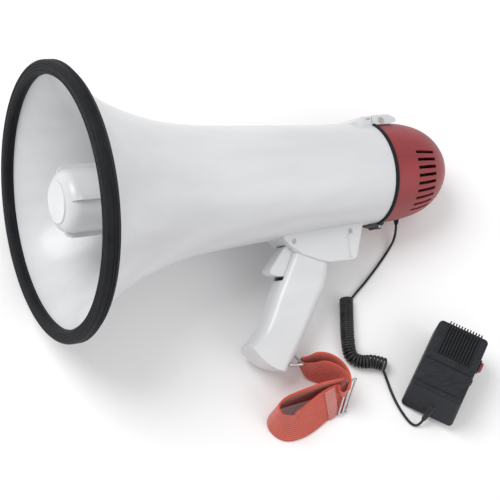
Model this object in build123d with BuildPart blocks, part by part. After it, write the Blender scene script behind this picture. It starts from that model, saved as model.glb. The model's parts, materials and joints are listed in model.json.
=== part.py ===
from build123d import *
import math
import os

# Handheld megaphone with a pistol grip, a curly-cord hand microphone and a wrist strap.
#
# The megaphone is modelled in its own frame: +X runs from the mouth back along the horn's axis,
# +Z points away from the grip, and the mouth's plane is X = 0.  It is then laid on its side on a
# table top, Z = 0, where the microphone, the cord and the strap are modelled straight away.
# Every size is in millimetres.

# ---- driving dimensions: horn and housing ------------------------------------------------------
MOUTH_R = 115.0          # outside of the rubber rim
SEAM_X = 311.0           # rear end of the white barrel
BARREL_R = 46.6          # outside of the barrel at the seam
WALL = 3.2               # moulded wall, measured radially
GASKET_R = 48.2          # the gasket stands proud of the barrel
GASKET_WIDE = 3.5
CAP_FRONT = SEAM_X + GASKET_WIDE + 0.3
CAP_END = 386.0          # flat end of the rear cap

# outside of the horn, as distance from the mouth and radius
FLARE = [(6, 111.5), (18, 99.5), (32, 89), (49, 79), (63, 72.3), (80, 66.2), (98, 61)]
FLARE += [(134, 55.3), (191, 51.5), (251, 48.6), (SEAM_X, BARREL_R)]

NOSE_FRONT = 7.0         # the reflector's flat front
NOSE_R = 26.5
NOSE_BACK = 86.0
FIN_R = 30.0             # outside of the reflector's four fins

# ---- driving dimensions: grip ------------------------------------------------------------------
SADDLE_HALF = 16.0       # half width of the saddle under the barrel
GRIP_WALL = 2.6
TRIGGER_HALF = 7.6
TRIGGER_PIN = (218.5, -60.0)
SCREWS = [(214.5, -54.0), (274.5, -51.0)]
BAIL_HOLE = (196.0, -160.5)
BAIL_WIRE_R = 1.25

# ---- driving dimensions: cap hinge and latch ---------------------------------------------------
HINGE_X = 313.0
HINGE_Z = -49.8
HINGE_PIN_R = 1.2
LATCH_HALF = 20.0        # half width of the latch
LATCH_TOP = 51.4
LATCH_PIN = (321.0, 46.4)

# ---- driving dimensions: how the megaphone lies ------------------------------------------------
# It rests on the rim, the bulge of the rear cap and the far bottom corner of the grip.
REST_RIM_X = 8.8
REST_CAP = (350.56, 43.285)
PITCH = math.degrees(math.atan((MOUTH_R - REST_CAP[1]) / (REST_CAP[0] - REST_RIM_X)))
ROLL = 21.2              # the grip's slope below the horizontal
AXIS_H = MOUTH_R * math.cos(math.radians(PITCH)) + REST_RIM_X * math.sin(math.radians(PITCH))
ORIGIN_X = 179.0         # from the mouth to the middle of the footprint
ORIGIN_Y = 62.0
LAID = Location((-ORIGIN_X, ORIGIN_Y, AXIS_H)) * Location((0, 0, 0), (0, PITCH, 0))
LAID = LAID * Location((0, 0, 0), (ROLL - 90, 0, 0))

# ---- driving dimensions: hand microphone -------------------------------------------------------
MIC_WIDE = 47.0          # at the face; the back is a little wider
MIC_LONG = 66.0
MIC_THICK = 34.0
MIC_SPLIT = 16.0         # height of the parting line
MIC_BEVEL = 12.0         # how far the cord end slopes out towards the back
MIC_WALL = 2.2
MIC_PLACE = Location((127.6, -151.7, 6.1)) * Location((0, 0, 0), (0, 0, -44.5))
MIC_PLACE = MIC_PLACE * Location((0, 0, 0), (0, -10, 0)) * Location((0, 0, 0), (6, 0, 0))
CLIP_DROP = 9.5          # how far the belt clip stands off the back
BUTTON_Y = 46.0
BUTTON_Z = 16.0
WHEEL_X = 17.6
WHEEL_Y = 29.0

# ---- driving dimensions: cord and strap --------------------------------------------------------
CORD_D = 2.4
CURL_D = 12.8
STRAP_WIDE = 34.0
STRAP_THICK = 2.4

os.makedirs("parts", exist_ok=True)


def around(radius, angle):
    """Y and Z of a point at that radius; 0 degrees faces -Y and 90 degrees faces -Z."""
    turn = math.radians(angle)
    return -radius * math.cos(turn), -radius * math.sin(turn)


def print_radii(name, radii):
    print(name, "arc radii", [round(r, 1) for r in radii])


def cord_path(points):
    """Arc radii of a free cord: 0.45 of the shorter run over the tangent of half the turn."""
    radii = []
    for before, here, after in zip(points, points[1:], points[2:]):
        run_in = Vector(*here) - Vector(*before)
        run_out = Vector(*after) - Vector(*here)
        half_turn = math.radians(run_in.get_angle(run_out)) / 2
        radii.append(0.45 * min(run_in.length, run_out.length) / math.tan(half_turn))
    return radii


# ================================================================================================
# Horn
# ================================================================================================

with BuildPart() as horn_shell:
    with BuildSketch(Plane.XZ):
        with BuildLine():
            skin = Spline(*FLARE)
            rear = Line(FLARE[-1], (SEAM_X, BARREL_R - WALL))
            lining = Spline(*[(x, r - WALL) for x, r in reversed(FLARE)])
            Line(lining @ 1, skin @ 0)
        make_face()
    revolve(axis=Axis.X)
horn_shell.part.label = "horn_shell"

with BuildPart() as horn_solid:
    with BuildSketch(Plane.XZ):
        with BuildLine():
            solid_skin = Spline(*FLARE)
            Polyline(FLARE[-1], (SEAM_X, 0), (FLARE[0][0], 0), FLARE[0])
        make_face()
    revolve(axis=Axis.X)

with BuildPart() as rim_bumper:
    with BuildSketch(Plane.XZ):
        with BuildLine():
            front = Polyline((5.5, 103.3), (1.8, 103.4), (0, 105.2), (0, 112.4))
            shoulder = TangentArc(front @ 1, (2.6, MOUTH_R), tangent=(0, 1))
            Polyline((2.6, MOUTH_R), (8.8, MOUTH_R), (12.4, 111.6), (12.4, 104.0), (9.0, 105.4),
                     (5.5, 103.3))
        make_face()
        with Locations((0, 106.6), (0, 109.0), (0, 111.4), (5.7, MOUTH_R), (8.2, MOUTH_R)):
            Circle(0.55, mode=Mode.SUBTRACT)
    revolve(axis=Axis.X)
    add(horn_shell.part, mode=Mode.SUBTRACT)
rim_bumper.part.label = "rim_bumper"

with BuildPart() as horn_nose:
    with BuildSketch(Plane.XZ):
        with BuildLine():
            face = Line((NOSE_FRONT, 0), (NOSE_FRONT, NOSE_R - 10))
            knee = TangentArc(face @ 1, (NOSE_FRONT + 10, NOSE_R), tangent=(0, 1))
            Polyline(knee @ 1, (NOSE_BACK, NOSE_R - 1), (NOSE_BACK, NOSE_R - 3.5), (17, NOSE_R - 2.5))
            hollow = TangentArc((17, NOSE_R - 2.5), (9.5, NOSE_R - 10), tangent=(-1, 0))
            Polyline(hollow @ 1, (9.5, 0), (NOSE_FRONT, 0))
        make_face()
    revolve(axis=Axis.X)
    for quarter in range(4):
        with BuildSketch(Plane.XZ.rotated((90 * quarter, 0, 0))):
            with BuildLine():
                Polyline((10, 22.4), (10, 25.2), (12.5, 28.2), (17, FIN_R), (NOSE_BACK, FIN_R - 1),
                         (NOSE_BACK, 24.6), (17, 25.2), close=True)
            make_face()
        extrude(amount=1.8, both=True)
horn_nose.part.label = "horn_nose"

with BuildPart() as nose_disc:
    with BuildSketch(Plane.YZ.offset(NOSE_FRONT - 1.4)):
        Circle(17.5)
    extrude(amount=1.4)
    chamfer(nose_disc.edges().group_by(Axis.X)[0], 0.5)
nose_disc.part.label = "nose_disc"

# the inner horn, with four webs that carry the reflector
with BuildPart() as tone_tube:
    with BuildSketch(Plane.XZ):
        with BuildLine():
            Polyline((40, 10.4), (40, 12.6), (118, 14.6), (118, 12.2), close=True)
        make_face()
    revolve(axis=Axis.X)
    for quarter in range(4):
        with BuildSketch(Plane.XZ.rotated((90 * quarter + 45, 0, 0))):
            with BuildLine():
                Polyline((56, 12.4), (60, 23.3), (84, 22.95), (84, 13.2), close=True)
            make_face()
        extrude(amount=1.0, both=True)
tone_tube.part.label = "tone_tube"

# the wall that closes the barrel behind the reflector and carries the driver
with BuildPart() as throat_ring:
    with BuildSketch(Plane.XZ):
        with BuildLine():
            bowl = ThreePointArc((96, 57.2), (110, 43), (114.5, 16.5))
            Polyline(bowl @ 1, (114.5, 14.55), (121.5, 14.7), (121.5, 42.5), (117, 42.5))
            ThreePointArc((117, 42.5), (110.5, 50.5), (98.5, 57.0))
            Line((98.5, 57.0), (96, 57.2))
        make_face()
    revolve(axis=Axis.X)
    add(tone_tube.part, mode=Mode.SUBTRACT)
throat_ring.part.label = "throat_ring"

# ================================================================================================
# Compression driver
# ================================================================================================

with BuildPart() as driver_diaphragm:
    with BuildSketch(Plane.XZ):
        with BuildLine():
            Polyline((118.3, 0), (118.8, 5), (120.1, 9), (122.4, 12.4), (121.9, 17), (121.9, 30),
                     (122.5, 30), (122.5, 17), (123.0, 12.4), (120.7, 8.8), (119.4, 4.8), (118.9, 0),
                     close=True)
        make_face()
    revolve(axis=Axis.X)
driver_diaphragm.part.label = "driver_diaphragm"

with BuildPart() as voice_coil:
    with BuildSketch(Plane.YZ.offset(123.1)):
        Circle(12.9)
        Circle(12.4, mode=Mode.SUBTRACT)
    extrude(amount=7.5)
voice_coil.part.label = "voice_coil"

with BuildPart() as top_plate:
    with BuildSketch(Plane.YZ.offset(124.5)):
        Circle(37)
        Circle(13.3, mode=Mode.SUBTRACT)
    extrude(amount=5)
top_plate.part.label = "top_plate"

with BuildPart() as magnet_ring:
    with BuildSketch(Plane.YZ.offset(129.5)):
        Circle(39)
        Circle(17, mode=Mode.SUBTRACT)
    extrude(amount=14)
    chamfer(magnet_ring.edges().filter_by(GeomType.CIRCLE).group_by(SortBy.RADIUS)[-1], 0.8)
magnet_ring.part.label = "magnet_ring"

with BuildPart() as pole_yoke:
    with BuildSketch(Plane.YZ.offset(143.5)):
        Circle(37)
    extrude(amount=5)
    with BuildSketch(Plane.YZ.offset(124.5)):
        Circle(12.0)
    extrude(amount=19)
pole_yoke.part.label = "pole_yoke"

with BuildPart() as driver_cover:
    with BuildSketch(Plane.XZ):
        with BuildLine():
            Polyline((122.6, 42.5), (122.6, 30), (124.3, 30), (124.3, 39.7), (148.8, 39.7), (148.8, 0),
                     (151, 0), (151, 40), (149, 42), (126, 42.5), close=True)
        make_face()
    revolve(axis=Axis.X)
driver_cover.part.label = "driver_cover"

# ================================================================================================
# Battery holder: eight C cells, four across and two deep
# ================================================================================================
CELL_R = 13.1
CELL_LONG = 50.0
CELL_OFF = 14.2
TRAY_FRONT = 184.0
TRAY_BACK = 300.0
STACKS = [(-CELL_OFF, -CELL_OFF), (-CELL_OFF, CELL_OFF), (CELL_OFF, -CELL_OFF), (CELL_OFF, CELL_OFF)]

with BuildPart() as battery_tray:
    with BuildSketch(Plane.YZ.offset(TRAY_FRONT)):
        Circle(42.5)
    extrude(amount=3)
    with BuildSketch(Plane.YZ.offset(TRAY_BACK - 3)):
        Circle(42.5)
        with Locations((0, 36), (0, -36)):
            SlotOverall(16, 6, mode=Mode.SUBTRACT)
    extrude(amount=3)
    with BuildSketch(Plane.YZ.offset(TRAY_FRONT)):
        Rectangle(1.6, 62)
        Rectangle(62, 1.6)
    extrude(amount=TRAY_BACK - TRAY_FRONT)
    with BuildSketch(Plane.YZ.offset(TRAY_FRONT + 54)):
        Rectangle(5, 68)
        Rectangle(68, 5)
    extrude(amount=4)
    for y, z in STACKS:
        with BuildSketch(Plane.YZ.offset(TRAY_FRONT + 3)):
            with Locations((y, z)):
                Circle(CELL_R + 0.25)
        extrude(amount=TRAY_BACK - TRAY_FRONT - 6, mode=Mode.SUBTRACT)
battery_tray.part.label = "battery_tray"

with BuildPart() as battery_cells:
    for front_x in (TRAY_FRONT + 6.5, TRAY_FRONT + 6.5 + CELL_LONG + 0.4):
        for y, z in STACKS:
            with BuildSketch(Plane.YZ.offset(front_x)):
                with Locations((y, z)):
                    Circle(CELL_R)
            extrude(amount=CELL_LONG - 1.5)
            with BuildSketch(Plane.YZ.offset(front_x + CELL_LONG - 1.5)):
                with Locations((y, z)):
                    Circle(3.2)
            extrude(amount=1.5)
battery_cells.part.label = "battery_cells"

with BuildPart() as battery_contacts:
    for y, z in STACKS:
        with BuildSketch(Plane.YZ.offset(TRAY_FRONT + 3)):
            with Locations((y, z)):
                Circle(6)
        with BuildSketch(Plane.YZ.offset(TRAY_FRONT + 6.4)):
            with Locations((y, z)):
                Circle(3.5)
        loft()
        with BuildSketch(Plane.YZ.offset(TRAY_BACK - 3.6)):
            with Locations((y, z)):
                Circle(5)
        extrude(amount=0.6)
battery_contacts.part.label = "battery_contacts"

# ================================================================================================
# Seam gasket, rear cap and what the cap carries
# ================================================================================================

with BuildPart() as seam_gasket:
    with BuildSketch(Plane.XZ):
        with BuildLine():
            Polyline((SEAM_X, 42.6), (SEAM_X, GASKET_R - 0.8), (SEAM_X + 0.8, GASKET_R),
                     (SEAM_X + GASKET_WIDE - 0.8, GASKET_R), (SEAM_X + GASKET_WIDE, GASKET_R - 0.8),
                     (SEAM_X + GASKET_WIDE, 42.6), close=True)
        make_face()
    revolve(axis=Axis.X)
    with Locations((HINGE_X, 0, HINGE_Z)):
        Box(12, 16, 7.2, mode=Mode.SUBTRACT)
    with Locations((SEAM_X + 2, 0, GASKET_R)):
        Box(12, 2 * LATCH_HALF + 1.2, 14, mode=Mode.SUBTRACT)
seam_gasket.part.label = "seam_gasket"

CAP_SKIN = [(CAP_FRONT, 46.4), (332, 45.7), (350, 43.4), (364, 39.2), (376, 32.2), (383, 25.5)]
CAP_LINING = [(CAP_FRONT, 43.6), (331, 43.0), (348.5, 40.8), (361.5, 36.9), (373, 30.4), (380.3, 23.2)]
SLOT_FIRST = -16.4
SLOT_STEP = 9.35
SLOT_COUNT = 9
GLAND_ANGLE = 105.0      # from -Y through -Z, so a little to the far side of the bottom
GLAND_X = 347.0

with BuildPart() as rear_cap:
    with BuildSketch(Plane.XZ):
        with BuildLine():
            dome = Spline(*CAP_SKIN)
            crown = ThreePointArc(CAP_SKIN[-1], (385.3, 22.6), (CAP_END, 19.5))
            Polyline((CAP_END, 19.5), (CAP_END, 0), (383.2, 0), (383.2, 18.6))
            ThreePointArc((383.2, 18.6), (382.4, 20.9), CAP_LINING[-1])
            Spline(*reversed(CAP_LINING))
            Line(CAP_LINING[0], CAP_SKIN[0])
        make_face()
    revolve(axis=Axis.X)
    for k in range(SLOT_COUNT):
        turn = SLOT_FIRST + SLOT_STEP * k
        y, z = around(42.5, turn)
        with Locations(Location((350, y, z), (turn, 0, 0))):
            Box(23, 13, 2.9, mode=Mode.SUBTRACT)
        with Locations(Location((350, -y, z), (-turn, 0, 0))):
            Box(23, 13, 2.9, mode=Mode.SUBTRACT)
    # four posts inside the end carry the amplifier board
    with BuildSketch(Plane.YZ.offset(361)):
        with GridLocations(36, 26, 2, 2):
            Circle(2.6)
    extrude(amount=20)
    # two lugs for the latch's stub pins
    for side in (-1, 1):
        with Locations((321, side * 13, 45.4)):
            Box(6, 3, 6.4)
    add(horn_shell.part, mode=Mode.SUBTRACT)
rear_cap.part.label = "rear_cap"

with BuildPart() as amplifier_board:
    with BuildSketch(Plane.YZ.offset(359.4)):
        RectangleRounded(46, 36, 3)
    extrude(amount=1.6)
amplifier_board.part.label = "amplifier_board"

with BuildPart() as board_parts:
    with BuildSketch(Plane.YZ.offset(347.4)):
        with Locations((-13, 6), (-13, -8)):
            Circle(5)
    extrude(amount=12)
    with BuildSketch(Plane.YZ.offset(343.4)):
        with Locations((12, 0)):
            Rectangle(3, 26)
    extrude(amount=16)
    with BuildSketch(Plane.YZ.offset(352.4)):
        with Locations((1, 9), (1, -7)):
            Rectangle(8, 10)
    extrude(amount=7)
board_parts.part.label = "board_parts"

gland_y, gland_z = around(1.0, GLAND_ANGLE)
GLAND_OUT = Vector(0, gland_y, gland_z)
GLAND_PLANE = Plane(origin=Vector(GLAND_X, 0, 0) + GLAND_OUT * 41.6, x_dir=(1, 0, 0), z_dir=GLAND_OUT)

with BuildPart() as cord_gland:
    with BuildSketch(GLAND_PLANE):
        Circle(3.0)
    extrude(amount=3.0)
    with BuildSketch(GLAND_PLANE.offset(2.4)):
        Circle(3.1)
    with BuildSketch(GLAND_PLANE.offset(9.0)):
        Circle(1.7)
    loft()
cord_gland.part.label = "cord_gland"

with BuildPart() as gland_bore:
    with BuildSketch(GLAND_PLANE.offset(-4)):
        Circle(3.0)
    extrude(amount=8.0)
    with BuildSketch(GLAND_PLANE.offset(2.4)):
        Circle(3.2)
    extrude(amount=6.0)
with BuildPart() as cap_drilled:
    add(rear_cap.part)
    add(gland_bore.part, mode=Mode.SUBTRACT)
rear_cap = cap_drilled
rear_cap.part.label = "rear_cap"

# ================================================================================================
# Cap hinge, under the seam
# ================================================================================================
KNUCKLE_R = 2.3

with BuildPart() as hinge_base:
    with BuildSketch(Plane.XZ.offset(-7.4)):
        with BuildLine():
            Polyline((303, -42), (303, -48.2), (309.5, -49.9), (HINGE_X, HINGE_Z - 1.2),
                     (HINGE_X, HINGE_Z + 1.2), (309.6, -46), (309.6, -42), close=True)
        make_face()
    extrude(amount=14.8)
    with BuildSketch(Plane.XZ.offset(-7.4)):
        with Locations((HINGE_X, HINGE_Z)):
            Circle(KNUCKLE_R)
    extrude(amount=14.8)
    with Locations((HINGE_X, 0, HINGE_Z)):
        Box(8.2, 6.2, 9, mode=Mode.SUBTRACT)
    add(horn_solid.part, mode=Mode.SUBTRACT)
    with BuildSketch(Plane.XZ.offset(-12)):
        with Locations((HINGE_X, HINGE_Z)):
            Circle(HINGE_PIN_R)
    extrude(amount=24, mode=Mode.SUBTRACT)
hinge_base.part.label = "hinge_base"

with BuildPart() as hinge_pin:
    with BuildSketch(Plane.XZ.offset(-8.0)):
        with Locations((HINGE_X, HINGE_Z)):
            Circle(HINGE_PIN_R)
    extrude(amount=16)
hinge_pin.part.label = "hinge_pin"

with BuildPart() as hinge_leaf:
    with BuildSketch(Plane.XZ.offset(-2.8)):
        with Locations((HINGE_X, HINGE_Z)):
            Circle(KNUCKLE_R - 0.2)
    extrude(amount=5.6)
    with BuildSketch(Plane.XZ.offset(-2.8)):
        with BuildLine():
            Polyline((HINGE_X, HINGE_Z - 1.4), (322, -47.9), (322, -44), (CAP_FRONT + 0.2, -44),
                     (CAP_FRONT + 0.2, -47.2), (HINGE_X + 1.0, HINGE_Z + 1.6), close=True)
        make_face()
    extrude(amount=5.6)
    add(rear_cap.part, mode=Mode.SUBTRACT)
    with Locations((321, 0, -41.5)):
        Box(30, 20, 5, mode=Mode.SUBTRACT)
    with BuildSketch(Plane.XZ.offset(-12)):
        with Locations((HINGE_X, HINGE_Z)):
            Circle(HINGE_PIN_R + 0.05)
    extrude(amount=24, mode=Mode.SUBTRACT)
hinge_leaf.part.label = "hinge_leaf"

# ================================================================================================
# Latch over the seam, on top
# ================================================================================================

with BuildPart() as latch_base:
    with BuildSketch(Plane.XZ.offset(-LATCH_HALF)):
        with BuildLine():
            Polyline((296.5, 38), (296.5, 47.6), (299.5, 50.6), (310.8, 50.9), (310.8, 38), close=True)
        make_face()
    extrude(amount=2 * LATCH_HALF)
    fillet(latch_base.edges().filter_by(Axis.Z).group_by(Axis.X)[0], 5)
    # notch for the lever's tongue
    with Locations((309, 0, 51)):
        Box(9, 12, 5.6, mode=Mode.SUBTRACT)
    # small slots in the two cheeks
    for side in (-1, 1):
        with Locations((307, side * LATCH_HALF, 48.2)):
            Box(4.4, 3, 1.3, mode=Mode.SUBTRACT)
    add(horn_solid.part, mode=Mode.SUBTRACT)
latch_base.part.label = "latch_base"

with BuildPart() as latch_lever:
    with BuildSketch(Plane.XZ.offset(-LATCH_HALF)):
        with BuildLine():
            Polyline((311.6, 36), (311.6, LATCH_TOP), (329.5, LATCH_TOP), (337.5, 47.8), (338, 45),
                     (336, 43.5), (330, 36), close=True)
        make_face()
    extrude(amount=2 * LATCH_HALF)
    fillet(latch_lever.edges().filter_by(Axis.Y).group_by(Axis.Z)[-1], 1.2)
    # tongue over the seam
    with Locations((310.2, 0, 49.9)):
        Box(7.4, 10.8, 1.8)
    # the underside follows the cap, and lifts away behind the pin for the lever's travel
    with BuildSketch(Plane.YZ.offset(300)):
        Circle(47.1)
    extrude(amount=60, mode=Mode.SUBTRACT)
    with BuildSketch(Plane.XZ.offset(-LATCH_HALF - 1)):
        with BuildLine():
            Polyline((323, 38), (323, 41.6), (338.6, 44.4), (338.6, 38), close=True)
        make_face()
    extrude(amount=2 * LATCH_HALF + 2, mode=Mode.SUBTRACT)
    with BuildSketch(Plane.YZ.offset(328)):
        Circle(47.1)
    with BuildSketch(Plane.YZ.offset(339)):
        Circle(48.6)
    loft(mode=Mode.SUBTRACT)
    # pockets round the cap's lugs
    for side in (-1, 1):
        with Locations((321, side * 13, 45.6)):
            Box(7.6, 4.0, 7.6, mode=Mode.SUBTRACT)
    # bores for the stub pins
    with BuildSketch(Plane.XZ.offset(-LATCH_HALF - 1)):
        with Locations(LATCH_PIN):
            Circle(1.56)
    extrude(amount=2 * LATCH_HALF + 2, mode=Mode.SUBTRACT)
latch_lever.part.label = "latch_lever"

with BuildPart() as latch_pins:
    for start in (LATCH_HALF + 0.6, -14.5):
        with BuildSketch(Plane.XZ.offset(-start)):
            with Locations(LATCH_PIN):
                Circle(1.5)
        extrude(amount=LATCH_HALF + 0.6 - 14.5)
    # a flat hollow head outside each cheek
    for side in (-1, 1):
        with BuildSketch(Plane.XZ.offset(side * (LATCH_HALF + 0.95))):
            with Locations(LATCH_PIN):
                Circle(2.5)
                Circle(1.0, mode=Mode.SUBTRACT)
        extrude(amount=0.35, both=True)
latch_pins.part.label = "latch_pins"

# ================================================================================================
# Pistol grip in two halves
# ================================================================================================

SADDLE_SIDE = [(205, -38), (205, -50.5), (211, -57.5), (222, -66.2), (238, -73.0), (249, -76.6),
               (276, -77.0), (279.5, -74.5), (290, -46), (290, -38)]

# the grip's axis slants forward; stations are (distance down the axis, front, back, half width)
GRIP_TOP = Vector(232, 0, -62)
GRIP_DOWN = Vector(-0.523, 0, -0.852)
GRIP_ACROSS = (0.852, 0, -0.523)
GRIP_STATIONS = [(-14, 12.4, 24.0, 13.6), (10, 12.8, 27.0, 13.8), (40, 12.6, 28.6, 14.0),
                 (62, 12.2, 28.0, 14.0), (80, 12.2, 26.8, 14.1), (91, 14.4, 25.4, 14.2),
                 (101, 18.6, 24.4, 14.2), (120, 20.0, 22.0, 14.2)]
HOLLOW_STATIONS = [(-12, 10, 21.4, 11.0), (10, 10.2, 24.4, 11.2), (40, 10.0, 26.0, 11.4),
                   (62, 9.6, 25.4, 11.4), (80, 9.6, 24.2, 11.6), (92, 10.0, 22.0, 11.6)]

with BuildPart() as grip_body:
    for down, front, back, half in GRIP_STATIONS:
        with BuildSketch(Plane(origin=GRIP_TOP + GRIP_DOWN * down, x_dir=GRIP_ACROSS, z_dir=GRIP_DOWN)):
            with Locations(((back - front) / 2, 0)):
                RectangleRounded(front + back, 2 * half, 9.0)
    loft()
    with BuildSketch(Plane.XZ.offset(-30)):
        with BuildLine():
            toe = ThreePointArc((161.0, -136.0), (174.6, -156.0), (195.5, -166.6))
            heel = ThreePointArc(toe @ 1, (202.5, -163.8), (207.0, -156.0))
            Polyline(heel @ 1, (230, -150), (230, -200), (130, -200), (130, -120), toe @ 0)
        make_face()
    extrude(amount=60, mode=Mode.SUBTRACT)

with BuildPart() as grip_hollow:
    for down, front, back, half in HOLLOW_STATIONS:
        with BuildSketch(Plane(origin=GRIP_TOP + GRIP_DOWN * down, x_dir=GRIP_ACROSS, z_dir=GRIP_DOWN)):
            with Locations(((back - front) / 2, 0)):
                RectangleRounded(front + back, 2 * half, 6.4)
    loft()

SWITCH_PEGS = [(229.5, -72.5), (224.5, -81.0)]
SIREN_PLANE = Plane(origin=(284.8, 0, -60.27), x_dir=(0.345, 0, 0.938), z_dir=(0.938, 0, -0.345))

with BuildPart() as saddle:
    with BuildSketch(Plane.XZ.offset(-SADDLE_HALF)):
        with BuildLine():
            Polyline(*SADDLE_SIDE, close=True)
        make_face()
    extrude(amount=2 * SADDLE_HALF)
    cheeks = saddle.faces().sort_by(Axis.Y)
    fillet(cheeks[0].edges() + cheeks[-1].edges(), 1.6)

with BuildPart() as saddle_hollow:
    with BuildSketch(Plane.XZ.offset(-SADDLE_HALF + GRIP_WALL)):
        with BuildLine():
            Polyline((220, -38), (220, -60), (238, -69.5), (250, -73.6), (272, -73.6), (286, -46),
                     (286, -38), close=True)
        make_face()
    extrude(amount=2 * (SADDLE_HALF - GRIP_WALL))

with BuildPart() as grip_whole:
    add(grip_body.part)
    add(saddle.part)
    add(grip_hollow.part, mode=Mode.SUBTRACT)
    add(saddle_hollow.part, mode=Mode.SUBTRACT)
    # scooped recess round the rear screw in each cheek
    for side in (-1, 1):
        with Locations((274.5, side * (SADDLE_HALF + 5.6), -64)):
            Cylinder(7, 22, mode=Mode.SUBTRACT)
    # bosses that the trigger pin and the screws pass through
    with BuildSketch(Plane.XZ.offset(-13.6)):
        with Locations(TRIGGER_PIN, *SCREWS):
            Circle(3.6)
    extrude(amount=27.2)
    # opening in the front for the trigger
    with BuildSketch(Plane.XZ.offset(-TRIGGER_HALF - 0.5)):
        with BuildLine():
            Polyline((200, -56.6), (226, -56.6), (221, -86.6), (184, -86.6), close=True)
        make_face()
    extrude(amount=2 * TRIGGER_HALF + 1.0, mode=Mode.SUBTRACT)
    with BuildSketch(Plane.XZ.offset(-TRIGGER_HALF - 0.5)):
        with Locations(TRIGGER_PIN):
            Circle(4.6)
    extrude(amount=2 * TRIGGER_HALF + 1.0, mode=Mode.SUBTRACT)
    with BuildSketch(Plane.XZ.offset(-12.8)):
        with Locations(TRIGGER_PIN):
            Circle(1.5)
    extrude(amount=25.6, mode=Mode.SUBTRACT)
    # screw holes, with a seat for each head in the near cheek
    for x, z in SCREWS:
        with BuildSketch(Plane.XZ.offset(4)):
            with Locations((x, z)):
                Circle(1.6)
        extrude(amount=10, mode=Mode.SUBTRACT)
        with BuildSketch(Plane.XZ.offset(13.6)):
            with Locations((x, z)):
                Circle(2.7)
        extrude(amount=6, mode=Mode.SUBTRACT)
    # two pegs carry the trigger's microswitch
    for peg in SWITCH_PEGS:
        with BuildSketch(Plane.XZ.offset(-13)):
            with Locations(peg):
                Circle(1.4)
        extrude(amount=26)
    # the rear face of the saddle takes the siren switch
    with BuildSketch(SIREN_PLANE.offset(1)):
        Rectangle(13.2, 9.2)
    extrude(amount=-14, mode=Mode.SUBTRACT)
    with BuildSketch(Plane.XZ.offset(-20)):
        with Locations(BAIL_HOLE):
            Circle(BAIL_WIRE_R + 0.05)
    extrude(amount=40, mode=Mode.SUBTRACT)
    add(horn_solid.part, mode=Mode.SUBTRACT)

with BuildPart() as handle_near:
    add(grip_whole.part)
    split(bisect_by=Plane.XZ, keep=Keep.TOP)
handle_near.part.label = "handle_near"

with BuildPart() as handle_far:
    add(grip_whole.part)
    split(bisect_by=Plane.XZ, keep=Keep.BOTTOM)
handle_far.part.label = "handle_far"

# ================================================================================================
# Trigger, siren switch, screws and bail
# ================================================================================================
TRIGGER_SIDE = [(212.5, -56.9), (209.2, -58.0), (192.0, -76.6), (192.4, -79.8), (196.6, -82.2),
                (206.8, -84.0), (213.5, -74.0), (221.0, -63.6), (219.5, -58.0)]

with BuildPart() as trigger:
    with BuildSketch(Plane.XZ.offset(-TRIGGER_HALF)):
        with BuildLine():
            Polyline(*TRIGGER_SIDE, close=True)
        make_face()
        with Locations(TRIGGER_PIN):
            Circle(4.1)
    extrude(amount=2 * TRIGGER_HALF)
    trigger_sides = trigger.faces().sort_by(Axis.Y)
    chamfer(trigger_sides[0].edges() + trigger_sides[-1].edges(), 0.6)
    with BuildSketch(Plane.XZ.offset(-20)):
        with Locations(TRIGGER_PIN):
            Circle(1.56)
    extrude(amount=40, mode=Mode.SUBTRACT)
trigger.part.label = "trigger"

with BuildPart() as trigger_pin:
    with BuildSketch(Plane.XZ.offset(-12.8)):
        with Locations(TRIGGER_PIN):
            Circle(1.5)
    extrude(amount=25.6)
trigger_pin.part.label = "trigger_pin"

with BuildPart() as trigger_switch:
    with BuildSketch(Plane.XZ.offset(-5)):
        with BuildLine():
            Polyline((226.6, -66.5), (235.0, -71.0), (226.5, -87.5), (218.5, -83.0), close=True)
        make_face()
        with Locations(*SWITCH_PEGS):
            Circle(1.4, mode=Mode.SUBTRACT)
    extrude(amount=10)
trigger_switch.part.label = "trigger_switch"

with BuildPart() as siren_switch:
    with BuildSketch(SIREN_PLANE):
        RectangleRounded(16, 12, 2)
    extrude(amount=1.2)
    with BuildSketch(SIREN_PLANE):
        Rectangle(13, 9)
    extrude(amount=-9)
    with BuildSketch(SIREN_PLANE.offset(2)):
        Rectangle(9.4, 4.4)
    extrude(amount=-7, mode=Mode.SUBTRACT)
siren_switch.part.label = "siren_switch"

SLIDER_CENTRE = -2.4
with BuildPart() as siren_slider:
    with BuildSketch(SIREN_PLANE.offset(-3.6)):
        with Locations((SLIDER_CENTRE, 0)):
            Rectangle(4.0, 3.8)
    extrude(amount=7.0)
    for notch in (-1.2, 0, 1.2):
        with BuildSketch(SIREN_PLANE.offset(3.0)):
            with Locations((SLIDER_CENTRE + notch, 0)):
                Rectangle(0.4, 5)
        extrude(amount=1.0, mode=Mode.SUBTRACT)
siren_slider.part.label = "siren_slider"

with BuildPart() as handle_screws:
    for x, z in SCREWS:
        with BuildSketch(Plane.XZ.offset(4)):
            with Locations((x, z)):
                Circle(1.6)
        extrude(amount=10)
        with BuildSketch(Plane.XZ.offset(13.6)):
            with Locations((x, z)):
                Circle(2.7)
        extrude(amount=1.6)
        with BuildSketch(Plane.XZ.offset(14.4)):
            with Locations((x, z)):
                Rectangle(3.2, 0.7)
                Rectangle(0.7, 3.2)
        extrude(amount=2, mode=Mode.SUBTRACT)
handle_screws.part.label = "handle_screws"

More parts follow.
